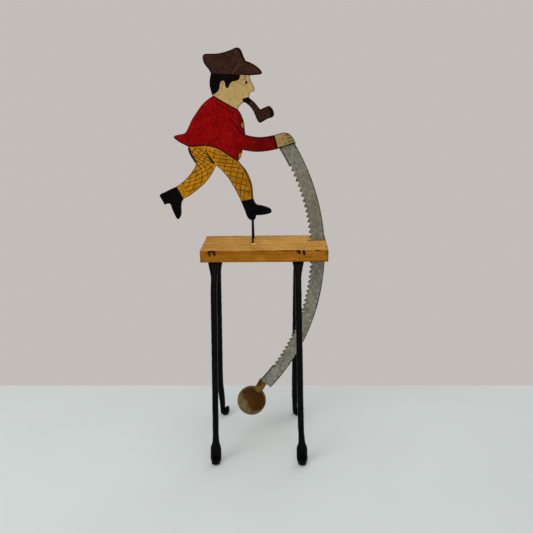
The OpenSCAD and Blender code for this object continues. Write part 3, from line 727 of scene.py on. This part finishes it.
class TOY_OT_board(Step, bpy.types.Operator):
    """Cut out the man's board with its sanded edges, and finish the fork under it"""
    bl_idname = "toy.board"
    bl_label = "Board and Fork"

    def execute(self, context):
        """The board follows the solid's front outline, with its holes closed."""
        man = context.scene.toy_man
        bm = merged_copy("man")
        front = {f for f in bm.faces if all(abs(v.co.y - MAN_LOW.y) < 1e-5 for v in f.verts)}
        bmesh.ops.delete(bm, geom=[f for f in bm.faces if f not in front], context="FACES")
        hole_corners = 100
        bmesh.ops.holes_fill(bm, edges=[e for e in bm.edges if e.is_boundary], sides=hole_corners)
        bmesh.ops.dissolve_faces(bm, faces=bm.faces[:])
        if len(bm.faces) != 1:
            raise RuntimeError("the man's front isn't one face")
        thicken(bm, bm.faces[:], MAN_HIGH.y - MAN_LOW.y)
        rim = [e for e in bm.edges if abs(e.verts[0].co.y - e.verts[1].co.y) < 1e-6]
        bmesh.ops.bevel(bm, geom=rim, offset=man.edge_round, affect="EDGES", segments=2, profile=0.5,
                        material=-1, clamp_overlap=False)
        piece(solid("man_board", bm, brushed_paint("edge_paint", man.edge, 0.4, 0.3)), "rocker", "man_board",
              "man", crease=50.0)
        refinish("fork_wire", "pivot_fork", "fork_steel", black_iron("fork_steel", man.wire))
        return {"FINISHED"}


class TOY_OT_paint(Step, bpy.types.Operator):
    """Paint the man's clothes, face, hair and pipe on both sides of the board"""
    bl_idname = "toy.paint"
    bl_label = "Paint"

    def execute(self, context):
        """Each colour is a thin skin of paint inside its area, with the brush lines over them."""
        man = context.scene.toy_man
        paints = {name: brushed_paint(name + "_paint", base, *brush, **more) for name, base, brush, more in (
            ("black", man.black, (0.3, 0.005), {"shine": 0.03}),
            # The shade runs in these rows are painted shade: where each starts and ends in millimetres along
            # X from the pivot, and its darkest share.
            ("trouser", man.trousers, (0.35, 0.12, 0.4), {"speckle": 0.2, "painted_shade": (-70, 10, 0.3)}),
            ("skin", man.skin, (0.22, 0.12, 1.2), {"speckle": 0.12, "painted_shade": (10, 60, 0.42)}),
            ("coat", man.coat, (0.35, 0.03, 0.25), {"painted_shade": (-40, 10, 0.45)}),
            ("cap", man.cap, (0.4, 0.06, 0.9), {"speckle": 0.2, "fleck": (0.6, 0.22, 0.16)}),
            ("pipe", man.pipe, (0.35, 0.05, 0.9), {}),
            ("peg_mark", tint(man.coat, 0.75), (0.3, 0.1), {}),
            ("scratch", srgb(140, 58, 48), (0.3, 0.2), {}),
            ("shadow", srgb(22, 32, 8), (0.4, 0.04), {"shine": 0.03}),
            ("plaid", srgb(44, 22, 6), (0.3, 0.06), {"shine": 0.03}),
            ("skin_line", srgb(112, 82, 40), (0.3, 0.1), {}),
            ("brow", srgb(134, 110, 86), (0.3, 0.2), {}),
            ("cap_seam", srgb(92, 62, 50), (0.3, 0.2), {}),
        )}
        for name, (paint, rise, areas) in AREAS.items():
            self.skin(name, areas, rise, paints[paint])
        for name, (paint, area, lines) in LINES.items():
            self.lines(name, lines, AREAS[area][1], paints[paint])
        return {"FINISHED"}

    def face(self, y, way):
        """One flat face of the board."""
        bm = bmesh.new()
        bm.from_mesh(bpy.data.objects["man_board"].data)
        flat = {f for f in bm.faces if f.normal.y * way > 0.99 and abs(f.calc_center_median().y - y) < 1e-5}
        bmesh.ops.delete(bm, geom=[f for f in bm.faces if f not in flat], context="FACES")
        return bm

    def sheet(self, y, way, rise):
        """A sheet of paint over one whole face of the board, standing that far out of it."""
        bm = self.face(y, way)
        root = 0.05 * MM
        bmesh.ops.translate(bm, verts=bm.verts[:], vec=(0.0, -way * root, 0.0))
        thicken(bm, bm.faces[:], way * (root + rise * MM))
        return solid("sheet", bm)

    def area(self, points, y):
        """A block over a run of figure points, through one face of the board."""
        half = 2 * MM
        bm = bmesh.new()
        thicken(bm, [bm.faces.new([bm.verts.new(on_figure(*point, y - half)) for point in points])], 2 * half)
        return solid("area", bm)

    def skin(self, name, areas, rise, paint):
        """One colour's skin of paint on both sides of the board."""
        bm = bmesh.new()
        for y, way in SIDES:
            for area in areas:
                sheet = self.sheet(y, way, rise)
                cut(sheet, self.area(area, y), "INTERSECT")
                bm.from_mesh(sheet.data)
                bpy.data.objects.remove(sheet)
        for f in bm.faces:
            f.material_index = 0
        piece(solid(name, bm, paint), "rocker", "man_board")

    def lines(self, name, lines, rise, paint):
        """Brush lines on both sides of the board, each a low bead of paint that thins out at its ends."""
        bm = bmesh.new()
        flatness, thin_end = 0.14, 0.5
        for y, way in SIDES:
            face = self.face(y, way)
            bmesh.ops.triangulate(face, faces=face.faces[:])
            board = BVHTree.FromBMesh(face)
            face.free()
            curve = bpy.data.curves.new("line", "CURVE")
            curve.dimensions = "3D"
            curve.bevel_depth = 1.0
            curve.bevel_resolution = 1
            curve.use_fill_caps = True
            for width, points in lines:
                run = smooth_run(points)
                spline = curve.splines.new("POLY")
                spline.points.add(len(run) - 1)
                for knot, point in zip(spline.points, run):
                    knot.co = (*on_figure(*point, 0.0), 1.0)
                    knot.radius = width / 2 * MM * (thin_end if point in (run[0], run[-1]) else 1.0)
            brush = link("brush", curve)
            mesh = settled(brush)
            mesh.transform(Matrix.Translation((0.0, y + way * rise * MM, 0.0))
                           @ Matrix.Diagonal((1.0, flatness, 1.0, 1.0)))
            for v in mesh.vertices:
                inside = board.find_nearest(Vector((v.co.x, y, v.co.z)))[0]
                v.co.x, v.co.z = inside.x, inside.z
            bm.from_mesh(mesh)
            bpy.data.objects.remove(brush)
            bpy.data.meshes.remove(mesh)
        bmesh.ops.recalc_face_normals(bm, faces=bm.faces[:])
        piece(solid(name, bm, paint), "rocker", "man_board", crease=60.0)


class TOY_OT_saw(Step, bpy.types.Operator):
    """Finish the curved saw blade and the brads that hold it in the hand"""
    bl_idname = "toy.saw"
    bl_label = "Saw"

    def execute(self, context):
        """The blade keeps its solid's teeth."""
        saw = context.scene.toy_saw
        refinish("saw_plate", "saw_blade", "saw_metal", self.blade_metal(saw), 20.0)
        dress("hand_brads", bright_steel("brad_steel", srgb(96, 72, 38), 0.5))
        return {"FINISHED"}

    def blade_metal(self, saw):
        """Dull mottled sheet metal, streaked along its curve, darker and browner near the plank as painted
        shade, with dark edges.
        """
        # The blade's outer edge is two arcs that meet at its belly, each with a radius and a centre
        belly_drop, lower_r, upper_r = 27.27 * MM, 408 * MM, 375 * MM
        lower_x, upper_x = PIVOT.x - 284.64 * MM, PIVOT.x - 251.64 * MM
        blade_width = 25.5 * MM
        metal = Finish("saw_dull_metal", tint(saw.blade, 0.36))
        x, y, z = metal.add("ShaderNodeSeparateXYZ", {0: metal.place}).outputs
        rise = metal.sum("SUBTRACT", z, PIVOT.z - belly_drop)
        upper = metal.sum("GREATER_THAN", rise, 0.0)
        radius = metal.band(upper, 0.0, 1.0, lower_r, upper_r)
        out = metal.sum("SUBTRACT", x, metal.band(upper, 0.0, 1.0, lower_x, upper_x))
        squares = [metal.sum("MULTIPLY", side, side) for side in (out, rise)]
        depth = metal.sum("SUBTRACT", radius, metal.sum("SQRT", metal.sum("ADD", *squares)))
        along = metal.sum("MULTIPLY", metal.sum("ARCTAN2", rise, out), radius)
        strip = metal.add("ShaderNodeCombineXYZ", {0: along, 1: y, 2: depth}).outputs[0]
        streak = metal.clouds((0.03, 0.01, 0.0016), 5.0, 0.6, place=strip)
        cloud = metal.clouds(0.0046, 6.0, 0.66)
        fleck = metal.clouds(0.0026, 6.0, 0.66)
        wobble = metal.band(metal.clouds(0.006, 4.0), 0.3, 0.7, -0.8 * MM, 0.8 * MM)
        depth = metal.sum("ADD", depth, wobble)
        metal.lay(tint(saw.blade, 0.14, (1, 1, 1)), cloud, 0.36, 0.64)
        metal.lay(tint(saw.blade, 0.5), streak, 0.45, 0.72, 0.5)
        metal.lay(tint(saw.blade, 0.6), fleck, 0.56, 0.74, 0.6)
        # Painted shade: the blade turns darker and browner around where it runs through the plank.
        plank_shade = metal.near(PIVOT + Vector((108, 0, 60)) * MM, 180 * MM)
        metal.lay(tint(saw.blade, 0.55, srgb(70, 56, 34)), plank_shade, 0.0, 1.0, 0.55)
        metal.lay(saw.blade_edge, depth, 2.3 * MM, 1.0 * MM, 0.9)
        metal.lay(saw.blade_edge, depth, blade_width - 5 * MM, blade_width - 1.5 * MM, 0.75)
        height = metal.sum("ADD", streak, metal.sum("MULTIPLY", fleck, 0.6))
        return metal.done(metal.band(cloud, 0.3, 0.7, 0.42, 0.58), height, 0.0001, 0.12)


class TOY_OT_ball(Step, bpy.types.Operator):
    """Turn the counterweight ball and finish its dowel and brad"""
    bl_idname = "toy.ball"
    bl_label = "Ball"

    def execute(self, context):
        """The ball is turned about the dowel's line, with a flat under it and a bore for the dowel."""
        saw = context.scene.toy_saw
        tilt = math.radians(29.0)
        middle = PIVOT + Vector((-11.441, 0.0, -321.171)) * MM
        turned = self.turn_ball(Matrix.Translation(middle) @ Matrix.Rotation(tilt, 4, "Y"))
        ball = solid("ball_turned", turned, self.ball_wood(saw, middle, tilt))
        piece(ball, "rocker", "ball_wood", "ball")
        refinish("dowel_pin", "dowel", "dowel_wood", self.dowel_wood(saw, tilt), 35.0)
        dress("dowel_brad", bright_steel("dowel_brad_steel", srgb(66, 58, 48), 0.45))
        return {"FINISHED"}

    def turn_ball(self, place):
        """A half outline spun round, with shallow tool rings and a few knocks."""
        radius, bore, floor, flat = 27.5 * MM, 8.05 * MM, 11.5 * MM, 6 * MM
        ring_depth, knock_depth = 0.08 * MM, 0.9 * MM
        start = math.acos(bore / radius)
        end = -math.acos(flat / radius)
        steps, turns = 44, 72
        bm = bmesh.new()
        outline = [bm.verts.new((0.0, 0.0, floor)), bm.verts.new((bore, 0.0, floor))]
        for i in range(steps + 1):
            angle = start + (end - start) * i / steps
            ring = radius - ring_depth * max(0.0, math.sin(i * 2.1))
            outline.append(bm.verts.new((ring * math.cos(angle), 0.0, ring * math.sin(angle))))
        outline.append(bm.verts.new((0.0, 0.0, radius * math.sin(end))))
        edges = [bm.edges.new(pair) for pair in zip(outline, outline[1:])]
        bmesh.ops.spin(bm, geom=outline + edges, cent=(0, 0, 0), axis=(0, 0, 1), angle=2 * math.pi,
                       steps=turns, use_merge=True)
        bmesh.ops.remove_doubles(bm, verts=bm.verts[:], dist=1e-6)
        bmesh.ops.recalc_face_normals(bm, faces=bm.faces[:])
        bm.normal_update()
        for v in bm.verts:
            if v.co.length > radius * 0.99:
                knock = max(0.0, noise.noise(v.co * 95.0) - 0.28)
                v.co -= v.normal * knock * knock_depth
        bmesh.ops.transform(bm, matrix=place, verts=bm.verts[:])
        return bm

    def ball_wood(self, saw, middle, tilt):
        """Brownish-olive varnished wood: a dark red patch at its front right, heartwood with painted shade,
        and grey scuffs with a painted reflection on the left.
        """
        wood = Finish("ball_varnished_wood", saw.ball)
        line = wood.clouds((0.0035, 0.0035, 0.05), 6.0, 0.6, tilt, warp=0.6)
        pore = wood.clouds((0.0005, 0.0005, 0.008), 3.0, 0.5, tilt)
        patch = wood.clouds(0.014, 5.0, 0.6)
        scuff = wood.clouds((0.0036, 0.0036, 0.0016), 5.0, 0.65)
        # Painted shade over heartwood: the dark red patch covers the ball's right side and its top under the
        # dowel, leaving the bottom lighter as a painted reflection of the floor.
        heart_and_shade = wood.sum("MAXIMUM", wood.near(middle + Vector((13, -19, 11)) * MM, 35 * MM),
                         wood.near(middle + Vector((-3, -12, 24)) * MM, 27 * MM))
        heart_and_shade = wood.sum("ADD", heart_and_shade, wood.sum("MULTIPLY", patch, 0.6))
        wood.lay(tint(saw.ball, 0.45), line, 0.35, 0.68)
        wood.lay(saw.ball_heart_and_shade, heart_and_shade, 0.62, 0.82, 0.92)
        wood.lay(tint(saw.ball_heart_and_shade, 0.5), line, 0.5, 0.7, 0.55)
        wood.lay(tint(saw.ball_heart_and_shade, 0.6), pore, 0.6, 0.74, 0.6)
        # The grey patch on the left is scuffs with a painted reflection of the light at the left.
        left = wood.near(middle + Vector((-17, -18, 6)) * MM, 24 * MM)
        rubbed = wood.sum("MULTIPLY", wood.band(scuff, 0.52, 0.66), wood.band(left, 0.1, 0.6))
        wood.lay(srgb(126, 122, 112), rubbed, 0.0, 1.0, 0.7)
        height = wood.sum("SUBTRACT", wood.sum("MULTIPLY", line, 0.4), wood.band(pore, 0.6, 0.75))
        return wood.done(wood.band(scuff, 0.35, 0.7, 0.34, 0.55), height, 0.00018, 0.035)

    def dowel_wood(self, saw, tilt):
        """Olive wood along the dowel, dirty in its pores, with painted shade by the blade's slot."""
        wood = Finish("dowel_plain_wood", saw.dowel)
        line = wood.clouds((0.0018, 0.0018, 0.03), 6.0, 0.6, tilt)
        dirt = wood.clouds(0.006, 5.0, 0.6)
        # Painted shade: darker around the slot where the blade goes in.
        slot_shade = wood.near(PIVOT + Vector((2, -8, -279)) * MM, 9 * MM)
        wood.lay(tint(saw.dowel, 0.5), line, 0.36, 0.68)
        wood.lay(tint(saw.dowel, 0.85), wood.sum("ADD", dirt, slot_shade), 0.56, 0.82, 0.8)
        return wood.done(wood.band(dirt, 0.3, 0.7, 0.5, 0.65), line, 0.0003, 0.06)


class TOY_OT_stage(Step, bpy.types.Operator):
    """Set up the pale floor and backdrop, the soft light and the camera"""
    bl_idname = "toy.stage"
    bl_label = "Stage"

    def execute(self, context):
        """A plain floor before a plain backdrop, with four large soft lamps and even light all around."""
        stage = context.scene.toy_stage
        self.floor(stage.floor, stage.floor_edge)
        self.lamp("key_light", stage.key, 1.3, (-1.2, -1.05, 1.7))
        self.lamp("top_light", stage.top, 1.6, (0.1, -0.35, 2.3))
        self.lamp("front_light", stage.front, 2.2, (0.3, -2.2, 0.7))
        self.lamp("back_light", stage.back, 2.0, (1.2, 1.6, 1.5))
        context.scene.world = self.surroundings(stage)
        context.scene.view_settings.view_transform = "Standard"
        camera = bpy.data.cameras.new("photo_camera")
        camera.sensor_width = 36.0
        camera.lens = 36.0
        eye = link("photo_camera", camera)
        eye.location = Vector((67.728, -868.369, 663.032)) * MM
        eye.rotation_euler = [math.radians(turn) for turn in (70.4096, 1.0279, 1.6266)]
        context.scene.camera = eye
        return {"FINISHED"}

    def floor(self, base, edge):
        """A wide pale floor with a faint unevenness, which ends a little behind the toy."""
        wide, near = 0.95, -0.7
        corners = ((-wide, near), (wide, near), (wide, edge), (-wide, edge))
        bm = bmesh.new()
        bm.faces.new([bm.verts.new((*corner, 0.0)) for corner in corners])
        paper = Finish("stage_floor_paper", base)
        paper.lay(tint(base, 0.05), paper.clouds(0.35, 3.0), 0.3, 0.7)
        solid("stage_floor", bm, paper.done(0.85))

    def surroundings(self, stage):
        """A world that lights the toy evenly, and that shows as the plain backdrop."""
        world = bpy.data.worlds.new("even_light")
        web = Web(world)
        sky = web.tree.nodes["Background"]
        web.feed(sky.inputs["Color"], (1.0, 0.98, 0.96, 1.0))
        web.feed(sky.inputs["Strength"], stage.sky)
        backdrop = web.add("ShaderNodeBackground", {"Color": stage.backdrop})
        rays = web.add("ShaderNodeLightPath").outputs
        seen = web.sum("MAXIMUM", rays["Is Camera Ray"], rays["Is Glossy Ray"])
        seen = web.sum("MAXIMUM", seen, rays["Is Transmission Ray"])
        both = web.add("ShaderNodeMixShader", {0: seen, 1: sky.outputs[0], 2: backdrop.outputs[0]})
        web.feed(web.tree.nodes["World Output"].inputs["Surface"], both.outputs[0])
        return world

    def lamp(self, name, power, width, place):
        """A large soft lamp that looks at the toy."""
        light = bpy.data.lights.new(name, "AREA")
        light.shape = "DISK"
        light.size = width
        light.energy = power
        lamp = link(name, light)
        lamp.location = place
        toy_middle = Vector((0.02, 0.0, 0.38))
        lamp.rotation_euler = (toy_middle - lamp.location).to_track_quat("-Z", "Y").to_euler()


STEPS = (TOY_OT_plank, TOY_OT_legs, TOY_OT_board, TOY_OT_paint, TOY_OT_saw, TOY_OT_ball, TOY_OT_stage)
GROUPS = {"toy_bench": BenchSettings, "toy_man": ManSettings, "toy_saw": SawSettings,
          "toy_stage": StageSettings}


class TOY_PT_steps(bpy.types.Panel):
    """Lists the toy's steps in the sidebar of the 3D view."""
    bl_idname = "TOY_PT_steps"
    bl_label = "Balancing Man"
    bl_space_type = "VIEW_3D"
    bl_region_type = "UI"
    bl_category = "Balancing Man"

    def draw(self, context):
        """The steps, then the sizes and colours of each group."""
        for step in STEPS:
            self.layout.operator(step.bl_idname)
        for name, group in GROUPS.items():
            box = self.layout.box()
            for field in group.__annotations__:
                box.prop(getattr(context.scene, name), field)


def register():
    """Makes the settings, the steps and the panel known to Blender."""
    for name, group in GROUPS.items():
        bpy.utils.register_class(group)
        setattr(bpy.types.Scene, name, PointerProperty(type=group))
    for cls in (*STEPS, TOY_PT_steps):
        bpy.utils.register_class(cls)


def unregister():
    """Takes them out again."""
    for cls in (TOY_PT_steps, *reversed(STEPS)):
        bpy.utils.unregister_class(cls)
    for name, group in GROUPS.items():
        delattr(bpy.types.Scene, name)
        bpy.utils.unregister_class(group)


def main():
    """Makes every piece in order."""
    register()
    bpy.ops.toy.plank()
    bpy.ops.toy.legs()
    bpy.ops.toy.board()
    bpy.ops.toy.paint()
    bpy.ops.toy.saw()
    bpy.ops.toy.ball()
    bpy.ops.toy.stage()


if __name__ == "__main__":
    main()
